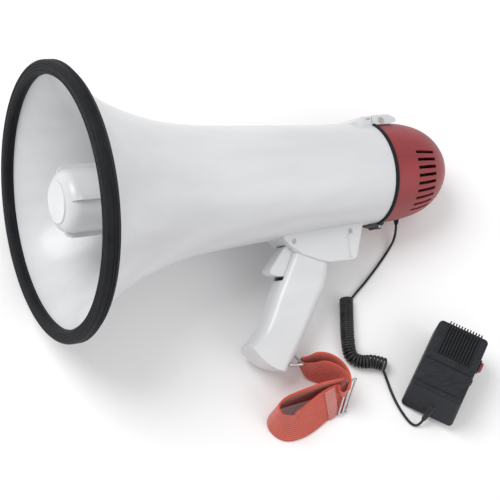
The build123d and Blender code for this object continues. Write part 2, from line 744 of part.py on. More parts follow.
BAIL_ROUTE = [(196.0, -8, -160.5), (196.0, -15.9, -160.5), (208.5, -15.9, -161.6), (216.5, 11.0, -155.4),
              (208.0, 15.9, -157.6), (196.0, 15.9, -160.5), (196.0, 8, -160.5)]
with BuildPart() as bail:
    with BuildLine() as bail_line:
        FilletPolyline(*BAIL_ROUTE, radius=[1.6, 3.0, 3.0, 3.0, 1.6])
    with BuildSketch(Plane(origin=bail_line.line @ 0, z_dir=bail_line.line % 0)):
        Circle(BAIL_WIRE_R)
    sweep()
bail.part.label = "bail"

# ================================================================================================
# Hand microphone, in its own frame: +X right, +Y towards the top, +Z out of the face
# ================================================================================================

with BuildPart() as mic_solid:
    with BuildSketch(Plane.XY):
        with Locations((0, (MIC_LONG + 2 - MIC_BEVEL) / 2)):
            RectangleRounded(MIC_WIDE + 3, MIC_LONG + 2 + MIC_BEVEL, 4)
    with BuildSketch(Plane.XY.offset(MIC_THICK)):
        with Locations((0, MIC_LONG / 2)):
            RectangleRounded(MIC_WIDE, MIC_LONG, 4)
    loft()
    fillet(mic_solid.faces().sort_by(Axis.Z)[-1].edges(), 2.0)
    chamfer(mic_solid.faces().sort_by(Axis.Z)[0].edges(), 1.2)

with BuildPart() as mic_room:
    with BuildSketch(Plane.XY.offset(MIC_WALL)):
        with Locations((0, (MIC_LONG + 2 - MIC_BEVEL + 1) / 2)):
            RectangleRounded(MIC_WIDE + 3 - 2 * MIC_WALL, MIC_LONG + 2 + MIC_BEVEL - 7, 2)
    with BuildSketch(Plane.XY.offset(MIC_THICK - MIC_WALL)):
        with Locations((0, MIC_LONG / 2)):
            RectangleRounded(MIC_WIDE - 2 * MIC_WALL, MIC_LONG - 2 * MIC_WALL, 2)
    loft()

MIC_POSTS = [(-18, 6.8), (18, 6.8), (-18, 60), (18, 60)]
RIB_COUNT = 12
RIB_STEP = 2.72
GRILLE_X = 1.0
GRILLE_Y = 36.0

with BuildPart() as mic_screws:
    for x, y in MIC_POSTS:
        with BuildSketch(Plane.XY.offset(0.2)):
            with Locations((x, y)):
                Circle(2.6)
        extrude(amount=1.4)
        with BuildSketch(Plane.XY.offset(1.6)):
            with Locations((x, y)):
                Circle(1.3)
        extrude(amount=20)
        with BuildSketch(Plane.XY):
            with Locations((x, y)):
                Rectangle(3.0, 0.7)
                Rectangle(0.7, 3.0)
        extrude(amount=0.9, mode=Mode.SUBTRACT)
mic_screws.part.label = "mic_screws"

with BuildPart() as mic_body:
    add(mic_solid.part)
    add(mic_room.part, mode=Mode.SUBTRACT)
    with BuildSketch(Plane.XY.offset(MIC_WALL)):
        with Locations(*MIC_POSTS):
            Circle(3.0)
    extrude(amount=MIC_THICK - 2 * MIC_WALL)
    for x, y in MIC_POSTS:
        with BuildSketch(Plane.XY.offset(-1)):
            with Locations((x, y)):
                Circle(2.6)
        extrude(amount=2.6, mode=Mode.SUBTRACT)
        with BuildSketch(Plane.XY.offset(1)):
            with Locations((x, y)):
                Circle(1.3)
        extrude(amount=20.6, mode=Mode.SUBTRACT)
    # two pegs carry the circuit board
    with BuildSketch(Plane.XY.offset(MIC_WALL)):
        with Locations((-10, 20), (-10, 52)):
            Circle(2.2)
    extrude(amount=5.8)
    # ridge across the face under the grille, and a step at the cord end
    with BuildSketch(Plane.XY.offset(MIC_THICK - 1)):
        with Locations((0, 28.6)):
            Rectangle(MIC_WIDE - 5, 1.8)
        with Locations((0, 5.0)):
            Rectangle(MIC_WIDE - 5, 1.2)
    extrude(amount=2.0)
    # grille window, and the window in the top end
    with BuildSketch(Plane.XY.offset(MIC_THICK - 4)):
        with Locations((GRILLE_X, GRILLE_Y + 13)):
            Rectangle(31, 26)
    extrude(amount=8, mode=Mode.SUBTRACT)
    # holes in the right side for the button and its collar, and for the wheel
    with BuildSketch(Plane.YZ.offset(18)):
        with Locations((BUTTON_Y, BUTTON_Z)):
            Circle(6.6)
    extrude(amount=12, mode=Mode.SUBTRACT)
    with Locations((24, WHEEL_Y, BUTTON_Z)):
        Box(6, 14.2, 5.0, mode=Mode.SUBTRACT)

with BuildPart() as mic_back_shell:
    add(mic_body.part)
    split(bisect_by=Plane.XY.offset(MIC_SPLIT), keep=Keep.BOTTOM)
mic_back_shell.part.label = "mic_back_shell"

with BuildPart() as mic_front_shell:
    add(mic_body.part)
    split(bisect_by=Plane.XY.offset(MIC_SPLIT), keep=Keep.TOP)
mic_front_shell.part.label = "mic_front_shell"

with BuildPart() as mic_grille:
    with BuildSketch(Plane.XY.offset(MIC_THICK - 1.6)):
        with Locations((GRILLE_X, GRILLE_Y + 13)):
            Rectangle(31, 26)
    extrude(amount=0.8)
    for k in range(RIB_COUNT):
        rib_x = GRILLE_X + RIB_STEP * (k - (RIB_COUNT - 1) / 2)
        with BuildSketch(Plane.YZ.offset(rib_x - 0.6)):
            with BuildLine():
                Polyline((GRILLE_Y - 1, 33.0), (GRILLE_Y - 1, 35.2), (66.4, 35.2), (68.2, 33.4),
                         (68.9, 19.0), (66.0, 19.0), (65.0, 33.0), close=True)
            make_face()
        extrude(amount=1.2)
    add(mic_front_shell.part, mode=Mode.SUBTRACT)
    add(mic_room.part, mode=Mode.SUBTRACT)
mic_grille.part.label = "mic_grille"

with BuildPart() as mic_capsule:
    with BuildSketch(Plane.XY.offset(25.8)):
        with Locations((GRILLE_X, 49)):
            Circle(11)
    extrude(amount=6.6)
    with BuildSketch(Plane.XY.offset(25.8)):
        with Locations((GRILLE_X, 49)):
            Circle(8)
    extrude(amount=1.2, mode=Mode.SUBTRACT)
mic_capsule.part.label = "mic_capsule"

with BuildPart() as mic_board:
    with BuildSketch(Plane.XY.offset(8)):
        with Locations((3, 36)):
            Rectangle(32, 40)
    extrude(amount=1.6)
mic_board.part.label = "mic_board"

with BuildPart() as mic_switch:
    with Locations((10.6, BUTTON_Y, 14.8)):
        Box(8, 12, 10.4)
mic_switch.part.label = "mic_switch"

with BuildPart() as volume_pot:
    with BuildSketch(Plane.XY.offset(9.6)):
        with Locations((WHEEL_X, WHEEL_Y)):
            Circle(4.6)
    extrude(amount=3.4)
    with BuildSketch(Plane.XY.offset(13)):
        with Locations((WHEEL_X, WHEEL_Y)):
            Circle(1.5)
    extrude(amount=6.4)
volume_pot.part.label = "volume_pot"

with BuildPart() as button_collar:
    with BuildSketch(Plane.YZ.offset(23.0)):
        with Locations((BUTTON_Y, BUTTON_Z)):
            Circle(6.6)
            Circle(5.3, mode=Mode.SUBTRACT)
    extrude(amount=2.6)
    chamfer(button_collar.edges().filter_by(GeomType.CIRCLE).sort_by(Axis.X)[-2:], 0.4)
button_collar.part.label = "button_collar"

with BuildPart() as ptt_button:
    with BuildSketch(Plane.YZ.offset(19.0)):
        with Locations((BUTTON_Y, BUTTON_Z)):
            Circle(4.95)
    extrude(amount=9.2)
    fillet(ptt_button.edges().filter_by(GeomType.CIRCLE).sort_by(Axis.X)[-1], 1.6)
ptt_button.part.label = "ptt_button"

with BuildPart() as volume_wheel:
    with BuildSketch(Plane.XY.offset(14.2)):
        with Locations((WHEEL_X, WHEEL_Y)):
            Circle(7.6)
            with PolarLocations(7.75, 24):
                Circle(0.45, mode=Mode.SUBTRACT)
            Circle(1.55, mode=Mode.SUBTRACT)
    extrude(amount=3.6)
volume_wheel.part.label = "volume_wheel"

with BuildPart() as mic_clip:
    with BuildSketch(Plane.YZ.offset(0)):
        with BuildLine():
            Polyline((63, 0), (63, -8.0), (60, -CLIP_DROP), (32, -CLIP_DROP), (25, -7.0), (25.6, -5.6),
                     (32.4, 1.6 - CLIP_DROP), (59, 1.6 - CLIP_DROP), (61, -7.4), (61, -1.6), (46, -1.6),
                     (46, 0), close=True)
        make_face()
    extrude(amount=12)
mic_clip.part.label = "mic_clip"

RELIEF_BASE = (122.1, -157.3, 16.9)
RELIEF_TIP = (114.8, -164.0, 7.6)
RELIEF_OUT = Vector(*RELIEF_TIP) - Vector(*RELIEF_BASE)

with BuildPart() as mic_placed:
    add(mic_solid.part.moved(MIC_PLACE))

with BuildPart() as mic_relief:
    with BuildSketch(Plane(origin=Vector(*RELIEF_BASE) - RELIEF_OUT * 0.25, z_dir=RELIEF_OUT)):
        Circle(4.3)
    with BuildSketch(Plane(origin=RELIEF_TIP, z_dir=RELIEF_OUT)):
        Circle(1.9)
    loft()
    add(mic_placed.part, mode=Mode.SUBTRACT)
mic_relief.part.label = "mic_relief"

# ================================================================================================
# Cord: a straight lead from the cap, the curly length, and a straight lead to the microphone.
# The curly length is one solid of its outer diameter.
# ================================================================================================
LEAD_CAP = [(154.4, 20.9, 13.7), (153.0, 11.6, 6.9), (144, 2, 1.4), (128, -11, 1.4), (110, -24.5, 1.4),
            (97.5, -32.5, 1.6), (88, -39.3, 3.5)]
CURL = [(84, -38, 6.5), (77, -59, 6.5), (71.5, -77, 6.5), (68.6, -92.5, 6.5), (77.5, -99.5, 6.5),
        (89.5, -100.5, 6.5), (98.5, -106.8, 6.5)]
LEAD_MIC = [(96.4, -110.2, 3.5), (97.3, -118, 1.5), (97.4, -129, 1.4), (98.4, -141.5, 1.4),
            (101.4, -154.3, 1.4), (105.5, -164.5, 1.4), (111.4, -167.0, 1.8), (114.8, -164.0, 7.6)]

for name, points in (("cord_lead_cap", LEAD_CAP), ("cord_curly", CURL), ("cord_lead_mic", LEAD_MIC)):
    print_radii(name, cord_path(points))

with BuildPart() as cord_lead_cap:
    with BuildLine() as cap_line:
        FilletPolyline(*LEAD_CAP, radius=cord_path(LEAD_CAP))
    with BuildSketch(Plane(origin=cap_line.line @ 0, z_dir=cap_line.line % 0)):
        Circle(CORD_D / 2)
    sweep()
cord_lead_cap.part.label = "cord_lead_cap"

with BuildPart() as cord_curly:
    with BuildLine() as curl_line:
        FilletPolyline(*CURL, radius=cord_path(CURL))
    with BuildSketch(Plane(origin=curl_line.line @ 0, z_dir=curl_line.line % 0)):
        Circle(CURL_D / 2)
    sweep()
cord_curly.part.label = "cord_curly"

with BuildPart() as cord_lead_mic:
    with BuildLine() as mic_line:
        FilletPolyline(*LEAD_MIC, radius=cord_path(LEAD_MIC))
    with BuildSketch(Plane(origin=mic_line.line @ 0, z_dir=mic_line.line % 0)):
        Circle(CORD_D / 2)
    sweep()
cord_lead_mic.part.label = "cord_lead_mic"

# ================================================================================================
# Wrist strap, standing on edge, and its slider
# ================================================================================================
STRAP_ROUTE = [(24, -93.5), (27, -101), (36, -106.5), (47, -112), (52.5, -122), (50, -136), (40, -139.5),
               (22, -144.5), (2, -150.5), (-12, -150), (-21, -141), (-19.5, -130), (-8, -124.5),
               (15, -121.5), (36, -119.5)]

with BuildPart() as wrist_strap:
    with BuildSketch(Plane.XY.offset(0.2)):
        with BuildLine() as strap_line:
            Spline(*STRAP_ROUTE)
        trace(strap_line.line, line_width=STRAP_THICK)
    extrude(amount=STRAP_WIDE)
wrist_strap.part.label = "wrist_strap"

GLIDE_FOOT = Plane(origin=(47.6, -137.2, 0.1), x_dir=(0.88, 0.47, 0), z_dir=(0, 0, 1))
with BuildPart() as tri_glide:
    with BuildSketch(GLIDE_FOOT):
        RectangleRounded(15, 6.4, 1.5)
    extrude(amount=39)
    with BuildSketch(GLIDE_FOOT.offset(2.2)):
        with Locations((-4.0, 0), (4.0, 0)):
            Rectangle(4.6, 12)
    extrude(amount=34.6, mode=Mode.SUBTRACT)
    add(wrist_strap.part, mode=Mode.SUBTRACT)
tri_glide.part.label = "tri_glide"

# ================================================================================================
# Lay the megaphone and the microphone on the table top, and write every piece
# ================================================================================================
MEGAPHONE = (horn_shell, rim_bumper, horn_nose, nose_disc, tone_tube, throat_ring, driver_diaphragm,
             voice_coil, top_plate, magnet_ring, pole_yoke, driver_cover, battery_tray, battery_cells,
             battery_contacts, seam_gasket, rear_cap, amplifier_board, board_parts, cord_gland,
             hinge_base, hinge_pin, hinge_leaf, latch_base, latch_lever, latch_pins, handle_near,
             handle_far, trigger, trigger_pin, trigger_switch, siren_switch, siren_slider,
             handle_screws, bail)
MICROPHONE = (mic_back_shell, mic_front_shell, mic_grille, mic_capsule, mic_board, mic_switch,
              volume_pot, button_collar, ptt_button, volume_wheel, mic_clip, mic_screws)
ON_TABLE = (mic_relief, cord_lead_cap, cord_curly, cord_lead_mic, wrist_strap, tri_glide)

for piece in MEGAPHONE:
    piece.part.move(LAID)
for piece in MICROPHONE:
    piece.part.move(MIC_PLACE)
for piece in MEGAPHONE + MICROPHONE + ON_TABLE:
    export_step(piece.part, "parts/" + piece.part.label + ".step")
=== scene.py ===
"""Looks of a handheld megaphone on its side, with its hand microphone, curly cord and wrist strap."""

import json
import math

import bmesh
import bpy
from mathutils import Euler, Matrix, Vector


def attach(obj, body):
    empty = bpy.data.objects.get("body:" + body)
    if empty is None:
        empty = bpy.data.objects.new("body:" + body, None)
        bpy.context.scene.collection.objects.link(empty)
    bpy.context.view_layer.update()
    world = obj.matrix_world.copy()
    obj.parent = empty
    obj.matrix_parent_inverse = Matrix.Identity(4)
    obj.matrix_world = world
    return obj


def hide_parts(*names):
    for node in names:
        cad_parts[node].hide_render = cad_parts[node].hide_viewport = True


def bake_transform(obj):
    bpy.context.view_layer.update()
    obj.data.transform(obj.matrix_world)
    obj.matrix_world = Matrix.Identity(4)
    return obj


MM = 0.001
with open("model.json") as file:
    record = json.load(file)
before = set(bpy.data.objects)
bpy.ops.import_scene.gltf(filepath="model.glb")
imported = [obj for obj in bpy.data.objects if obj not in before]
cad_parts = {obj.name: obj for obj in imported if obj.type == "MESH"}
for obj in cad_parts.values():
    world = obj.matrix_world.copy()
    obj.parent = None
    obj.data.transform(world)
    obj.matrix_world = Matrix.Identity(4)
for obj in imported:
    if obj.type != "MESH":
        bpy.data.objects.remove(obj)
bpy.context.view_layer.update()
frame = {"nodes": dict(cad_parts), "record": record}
nodes = frame["nodes"]


def mm(points):
    """Points in millimetres as vectors in metres."""
    return [Vector(p) * MM for p in points]


# ------------------------------------------------------------------------------------------------
# Camera
# ------------------------------------------------------------------------------------------------
CAMERA_EYE = Vector((-366.6, -364.0, 1066.8)) * MM
CAMERA_TURN = (24.16, -12.75, -17.65)
CAMERA_LENS = 93.6


def make_camera():
    data = bpy.data.cameras.new("camera")
    data.lens = CAMERA_LENS
    data.sensor_width = 36
    data.clip_start = 0.05
    data.clip_end = 50
    camera = bpy.data.objects.new("camera", data)
    camera.location = CAMERA_EYE
    camera.rotation_euler = Euler([math.radians(a) for a in CAMERA_TURN])
    bpy.context.scene.collection.objects.link(camera)
    bpy.context.scene.camera = camera


# ------------------------------------------------------------------------------------------------
# Node helpers
# ------------------------------------------------------------------------------------------------


class Shader:
    """A material with a Principled shader, and short calls that add nodes to it."""

    def __init__(self, name, roughness=0.4, metallic=0.0, coat=0.0, sheen=0.0, specular=0.5):
        self.material = bpy.data.materials.new(name)
        self.material.use_nodes = True
        self.tree = self.material.node_tree
        self.bsdf = self.tree.nodes["Principled BSDF"]
        self.bsdf.inputs["Roughness"].default_value = roughness
        self.bsdf.inputs["Metallic"].default_value = metallic
        self.bsdf.inputs["Coat Weight"].default_value = coat
        self.bsdf.inputs["Sheen Weight"].default_value = sheen
        self.bsdf.inputs["Specular IOR Level"].default_value = specular

    def node(self, kind, **values):
        made = self.tree.nodes.new(kind)
        for key, value in values.items():
            setattr(made, key, value)
        return made

    def link(self, source, target):
        self.tree.links.new(source, target)

    def coordinates(self, stretch=(1, 1, 1), turn=(0, 0, 0)):
        """Object coordinates in metres, turned and stretched."""
        texture = self.node("ShaderNodeTexCoord")
        mapping = self.node("ShaderNodeMapping")
        mapping.inputs["Scale"].default_value = stretch
        mapping.inputs["Rotation"].default_value = [math.radians(a) for a in turn]
        self.link(texture.outputs["Object"], mapping.inputs["Vector"])
        return mapping.outputs["Vector"]

    def noise(self, vector, scale, detail=3.0, roughness=0.5):
        made = self.node("ShaderNodeTexNoise")
        made.inputs["Scale"].default_value = scale
        made.inputs["Detail"].default_value = detail
        made.inputs["Roughness"].default_value = roughness
        self.link(vector, made.inputs["Vector"])
        return made.outputs["Fac"]

    def ramp(self, factor, stops):
        made = self.node("ShaderNodeValToRGB")
        elements = made.color_ramp.elements
        for _ in range(len(stops) - 2):
            elements.new(0.5)
        for element, (place, colour) in zip(elements, stops):
            element.position = place
            element.color = (*colour, 1)
        self.link(factor, made.inputs["Fac"])
        return made.outputs["Color"]

    def span(self, factor, low, high):
        """A 0..1 factor spread from low to high."""
        made = self.node("ShaderNodeMapRange")
        made.inputs["From Min"].default_value = 0.3
        made.inputs["From Max"].default_value = 0.7
        made.inputs["To Min"].default_value = low
        made.inputs["To Max"].default_value = high
        self.link(factor, made.inputs["Value"])
        return made.outputs["Result"]

    def maths(self, operation, first, second=None):
        made = self.node("ShaderNodeMath", operation=operation)
        for socket, value in zip(made.inputs, (first, second)):
            if isinstance(value, (int, float)):
                socket.default_value = value
            elif value is not None:
                self.link(value, socket)
        return made.outputs[0]

    def bump(self, height, distance, strength=1.0, below=None):
        made = self.node("ShaderNodeBump")
        made.inputs["Distance"].default_value = distance
        made.inputs["Strength"].default_value = strength
        self.link(height, made.inputs["Height"])
        if below is not None:
            self.link(below, made.inputs["Normal"])
        return made.outputs["Normal"]

    def colour(self, source):
        self.link(source, self.bsdf.inputs["Base Color"])

    def rough(self, source):
        self.link(source, self.bsdf.inputs["Roughness"])

    def normal(self, source):
        self.link(source, self.bsdf.inputs["Normal"])


def shade(colour, factor):
    return tuple(min(1.0, c * factor) for c in colour)


def mix(first, second, share):
    return tuple(a + (b - a) * share for a, b in zip(first, second))


# ------------------------------------------------------------------------------------------------
# Materials
# ------------------------------------------------------------------------------------------------
BARREL_TURN = (0, -11.85, 0)


def moulded(name, colour, roughness, coat=0.0, grain=0.00001, grain_scale=420, streaks=0.04, specular=0.5):
    """Moulded plastic: faint flow streaks along the barrel, a fine grain and uneven gloss."""
    s = Shader(name, roughness, coat=coat, specular=specular)
    along = s.coordinates((5, 40, 40), BARREL_TURN)
    flow = s.noise(along, 1.0, 4)
    s.colour(s.ramp(flow, [(0.3, shade(colour, 1 - streaks)), (0.7, shade(colour, 1 + streaks))]))
    plain = s.coordinates()
    smudges = s.noise(plain, 30, 2, 0.5)
    s.rough(s.span(smudges, roughness * 0.93, roughness * 1.12))
    fine = s.noise(plain, grain_scale, 2)
    wavy = s.noise(along, 0.8, 1)
    s.normal(s.bump(fine, grain, 0.35, below=s.bump(wavy, 0.0003, 0.10)))
    return s.material


def rubber(name, colour, roughness=0.62):
    """Dull rubber with a dusty bloom and fine pits."""
    s = Shader(name, roughness, specular=0.16)
    plain = s.coordinates()
    dust = s.noise(plain, 60, 6, 0.7)
    s.colour(s.ramp(dust, [(0.35, colour), (0.62, mix(colour, (0.12, 0.12, 0.13), 0.07)),
                           (0.8, mix(colour, (0.3, 0.3, 0.31), 0.10))]))
    s.rough(s.span(dust, roughness * 0.85, roughness * 1.15))
    pits = s.noise(plain, 1400, 3)
    s.normal(s.bump(pits, 0.00005, 0.5))
    return s.material


def steel(name, colour=(0.62, 0.62, 0.63), roughness=0.28):
    """Plated steel with fine drawn scratches and darker spots."""
    s = Shader(name, roughness, metallic=1.0)
    drawn = s.coordinates((300, 300, 3000))
    scratches = s.noise(drawn, 1.0, 4)
    spots = s.noise(s.coordinates(), 180, 4, 0.7)
    s.colour(s.ramp(spots, [(0.3, shade(colour, 0.8)), (0.6, colour), (0.8, shade(colour, 1.15))]))
    s.rough(s.span(scratches, roughness * 0.7, roughness * 1.4))
    s.normal(s.bump(scratches, 0.00002, 0.5))
    return s.material


def grained(name, colour, roughness=0.48, grain_scale=2600, depth=0.00006):
    """Dark housing plastic with a spark-eroded grain and paler scuffs."""
    s = Shader(name, roughness, specular=0.26)
    plain = s.coordinates()
    grain = s.noise(plain, grain_scale, 2, 0.6)
    scuffs = s.noise(s.coordinates((60, 300, 300), (12, 0, 45)), 1.0, 6, 0.75)
    s.colour(s.ramp(scuffs, [(0.40, colour), (0.66, mix(colour, (0.2, 0.2, 0.21), 0.07)),
                             (0.82, mix(colour, (0.3, 0.3, 0.31), 0.22))]))
    s.rough(s.span(scuffs, roughness * 0.9, roughness * 1.25))
    s.normal(s.bump(grain, depth, 0.55))
    return s.material


def circuit_board(name):
    """Green solder mask over copper tracks."""
    s = Shader(name, 0.35, coat=0.4)
    tracks = s.node("ShaderNodeTexBrick")
    tracks.inputs["Scale"].default_value = 260
    tracks.inputs["Color1"].default_value = (0.02, 0.16, 0.05, 1)
    tracks.inputs["Color2"].default_value = (0.02, 0.13, 0.045, 1)
    tracks.inputs["Mortar"].default_value = (0.05, 0.24, 0.09, 1)
    s.link(s.coordinates(), tracks.inputs["Vector"])
    s.colour(tracks.outputs["Color"])
    s.normal(s.bump(tracks.outputs["Fac"], 0.0001, 0.4))
    return s.material


RIB_SPACING = 2.6 * MM
WEFT_SPACING = 1.2 * MM


def webbing(name, colour, thread=(0.85, 0.45, 0.4)):
    """Woven strap: ribs along its length, fine weft across, and a little fading. The colour is darker in
    the grooves between ribs and weft as painted shade, and lighter towards the thread colour on their
    crests as painted highlight. The noise fading on top is the strap's own tone.
    """
    s = Shader(name, 0.82, sheen=0.35, specular=0.25)
    s.bsdf.inputs["Sheen Roughness"].default_value = 0.5
    uv = s.node("ShaderNodeUVMap")
    parts = s.node("ShaderNodeSeparateXYZ")
    s.link(uv.outputs["UV"], parts.inputs["Vector"])
    length, width = parts.outputs["X"], parts.outputs["Y"]
    ribs = s.maths("SINE", s.maths("MULTIPLY", width, 2 * math.pi / RIB_SPACING))
    weft = s.maths("SINE", s.maths("MULTIPLY", length, 2 * math.pi / WEFT_SPACING))
    weave = s.maths("ADD", s.maths("MULTIPLY", ribs, 0.7), s.maths("MULTIPLY", weft, 0.3))
    share = s.maths("ADD", s.maths("MULTIPLY", weave, 0.5), 0.5)
    fade = s.noise(s.coordinates(), 45, 4, 0.6)
    # painted shade in the weave's grooves and painted highlight on its crests, mixed with the strap's own
    # fading
    rib_shade_and_fade = s.maths("ADD", s.maths("MULTIPLY", share, 0.6), s.maths("MULTIPLY", fade, 0.4))
    s.colour(s.ramp(rib_shade_and_fade, [(0.2, shade(colour, 0.62)), (0.5, colour), (0.85, mix(colour, thread, 0.22))]))
    s.normal(s.bump(share, 0.0005, 0.9))
    return s.material


def cord_skin(name, colour):
    """Soft PVC: smooth, with a slow change of gloss and faint dents."""
    s = Shader(name, 0.42, coat=0.05, specular=0.3)
    plain = s.coordinates()
    slow = s.noise(plain, 120, 4, 0.6)
    s.colour(s.ramp(slow, [(0.35, colour), (0.75, mix(colour, (0.15, 0.15, 0.16), 0.2))]))
    s.rough(s.span(slow, 0.34, 0.55))
    s.normal(s.bump(slow, 0.0001, 0.35))
    return s.material


def floor_paper(name):
    s = Shader(name, 0.9, specular=0.1)
    clouds = s.noise(s.coordinates(), 3, 3)
    s.colour(s.ramp(clouds, [(0.2, (0.93, 0.93, 0.935)), (0.8, (0.95, 0.95, 0.955))]))
    return s.material


WHITE = moulded("white_abs", (0.655, 0.66, 0.672), 0.30, coat=0.15, grain=0.000002, streaks=0.045)
RED = moulded("red_abs", (0.285, 0.032, 0.038), 0.42, grain=0.00004, grain_scale=1500, streaks=0.16)
RUBBER = rubber("black_rubber", (0.0075, 0.008, 0.0105))
DARK = moulded("dark_plastic", (0.05, 0.05, 0.055), 0.5, streaks=0.1)
DISC = moulded("nose_plate", (0.72, 0.73, 0.75), 0.3, coat=0.3, streaks=0.05)
STEEL = steel("plated_steel")
FERRITE = rubber("ferrite", (0.03, 0.03, 0.033), 0.55)
COPPER = steel("copper_wire", (0.62, 0.28, 0.12), 0.35)
BOARD = circuit_board("circuit_board")
CELL = moulded("cell_wrap", (0.04, 0.07, 0.16), 0.3, coat=0.3, streaks=0.2)
MIC = grained("microphone_plastic", (0.0095, 0.011, 0.0155))
MIC_DARK = grained("microphone_rib_plastic", (0.008, 0.009, 0.011), 0.55)
BUTTON = moulded("button_red", (0.30, 0.018, 0.022), 0.26, coat=0.5, streaks=0.12)
STRAP = webbing("strap_webbing", (0.60, 0.075, 0.040))
PATCH = webbing("strap_patch", (0.62, 0.20, 0.17), (0.9, 0.7, 0.7))
CORD = cord_skin("cord_pvc", (0.010, 0.010, 0.012))

BY_SLOT = {
    "white_shell": WHITE, "red_cap": RED, "black_rubber": RUBBER, "disc_foil": DISC, "inner_plastic": DARK,
    "steel": STEEL, "magnet": FERRITE, "copper": COPPER, "board_green": BOARD, "cell_wrap": CELL,
    "mic_black": MIC, "button_red": BUTTON, "strap_red": STRAP, "cord_black": CORD,
}
BY_NODE = {"mic_grille": MIC_DARK, "button_collar": MIC_DARK}


def dress_nodes():
    """Every CAD node gets the material of its slot, or its own."""
    for row in frame["record"]["subparts"]:
        node = nodes[row["node"]]
        node.data.materials.clear()
        node.data.materials.append(BY_NODE.get(row["node"], BY_SLOT[row["material_slot"]]))


# ------------------------------------------------------------------------------------------------
# Mesh helpers
# ------------------------------------------------------------------------------------------------


def add_object(name, data, material):
    made = bpy.data.objects.new(name, data)
    bpy.context.scene.collection.objects.link(made)
    data.materials.append(material)
    return made


def nurbs_line(points):
    """Points along a NURBS spline with these control points."""
    curve = bpy.data.curves.new("route", "CURVE")
    curve.dimensions = "3D"
    curve.resolution_u = 12
    spline = curve.splines.new("NURBS")
    spline.points.add(len(points) - 1)
    for target, point in zip(spline.points, points):
        target.co = (*point, 1)
    spline.order_u = 3
    spline.use_endpoint_u = True
    holder = bpy.data.objects.new("route", curve)
    line = bpy.data.meshes.new_from_object(holder)
    found = [v.co.copy() for v in line.vertices]
    bpy.data.objects.remove(holder)
    bpy.data.curves.remove(curve)
    bpy.data.meshes.remove(line)
    return found


def lengths(line):
    """Distance from the start to each point of a line."""
    total = [0.0]
    for a, b in zip(line, line[1:]):
        total.append(total[-1] + (b - a).length)
    return total


def at_distance(line, total, distance):
    """The point and direction of a line at a distance along it."""
    for i in range(len(line) - 1):
        if distance <= total[i + 1] or i == len(line) - 2:
            step = line[i + 1] - line[i]
            share = (distance - total[i]) / max(step.length, 1e-9)
            return line[i] + step * share, step.normalized()


def carried_frames(line):
    """A side direction for each point of a line, carried along it without twist."""
    side = (line[1] - line[0]).cross(Vector((0, 0, 1)))
    if side.length < 1e-9:
        side = Vector((1, 0, 0))
    side.normalize()
    found = []
    for i in range(len(line)):
        along = (line[min(i + 1, len(line) - 1)] - line[max(i - 1, 0)]).normalized()
        side = (side - along * side.dot(along)).normalized()
        found.append((along, side.copy(), along.cross(side)))
    return found


def tube(name, line, radius, sides, material):
    """A round tube along a line, with closed ends."""
    bm = bmesh.new()
    rings = []
    for point, (along, side, up) in zip(line, carried_frames(line)):
        ring = []
        for k in range(sides):
            turn = 2 * math.pi * k / sides
            ring.append(bm.verts.new(point + (side * math.cos(turn) + up * math.sin(turn)) * radius))
        rings.append(ring)
    for low, high in zip(rings, rings[1:]):
        for k in range(sides):
            bm.faces.new((low[k], low[(k + 1) % sides], high[(k + 1) % sides], high[k]))
    bm.faces.new(reversed(rings[0]))
    bm.faces.new(rings[-1])
    data = bpy.data.meshes.new(name)
    bm.to_mesh(data)
    bm.free()
    for face in data.polygons:
        face.use_smooth = True
    return add_object(name, data, material)


# ------------------------------------------------------------------------------------------------
# Cord: a straight lead, the curly length, and a second straight lead into the microphone
# ------------------------------------------------------------------------------------------------
CORD_RADIUS = 1.2 * MM
CURL_RADIUS = 5.2 * MM
CURL_TURNS = 37
CURL_EASE = 0.055
CURL_EASE_GROWTH = 0.8
CORD_SIDES = 10
STEPS_PER_TURN = 20
LEAD_CAP = mm([(154.4, 20.9, 13.7), (153.0, 11.6, 6.9), (144, 2, 1.4), (128, -11, 1.4), (110, -24.5, 1.4),
               (97.5, -32.5, 1.6), (88, -39.3, 3.5)])
CURL = mm([(84, -38, 6.5), (77, -59, 6.5), (71.5, -77, 6.5), (68.6, -92.5, 6.5), (77.5, -99.5, 6.5),
           (89.5, -100.5, 6.5), (98.5, -106.8, 6.5)])
LEAD_MIC = mm([(96.4, -110.2, 3.5), (97.3, -118, 1.5), (97.4, -129, 1.4), (98.4, -141.5, 1.4),
               (101.4, -154.3, 1.4), (105.5, -164.5, 1.4), (111.4, -167.0, 1.8), (114.8, -164.0, 7.6)])


def phase_of(point, centre, side, up):
    """Angle of a point round an axis."""
    away = point - centre
    return math.atan2(away.dot(up), away.dot(side))


def curly_line(axis, start, end):
    """A helix round an axis line that begins beside start and ends beside end."""
    total = lengths(axis)
    frames = carried_frames(axis)
    first = phase_of(start, axis[0], frames[0][1], frames[0][2])
    last = phase_of(end, axis[-1], frames[-1][1], frames[-1][2])
    sweep = 2 * math.pi * CURL_TURNS + (last - first) % (2 * math.pi)
    steps = CURL_TURNS * STEPS_PER_TURN
    found = []
    place = 0
    for i in range(steps + 1):
        share = i / steps
        # the turns lie closer at first and open out towards the microphone
        spread = share - CURL_EASE * math.sin(math.pi * share) * (1 + CURL_EASE_GROWTH * share)
        distance = total[-1] * spread
        while place < len(axis) - 2 and total[place + 1] < distance:
            place += 1
        point, along = at_distance(axis[place:place + 2], total[place:place + 2], distance)
        side, up = frames[place][1], frames[place][2]
        turn = first + sweep * share
        found.append(point + (side * math.cos(turn) + up * math.sin(turn)) * CURL_RADIUS)
    return found


def make_cord():
    lead_cap = nurbs_line(LEAD_CAP)
    lead_mic = nurbs_line(LEAD_MIC)
    curl = curly_line(nurbs_line(CURL), lead_cap[-1], lead_mic[0])
    line = lead_cap[:-2] + curl + lead_mic[2:]
    cord = tube("microphone_cord", line, CORD_RADIUS, CORD_SIDES, CORD)
    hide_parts("cord_lead_cap", "cord_curly", "cord_lead_mic")
    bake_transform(cord)


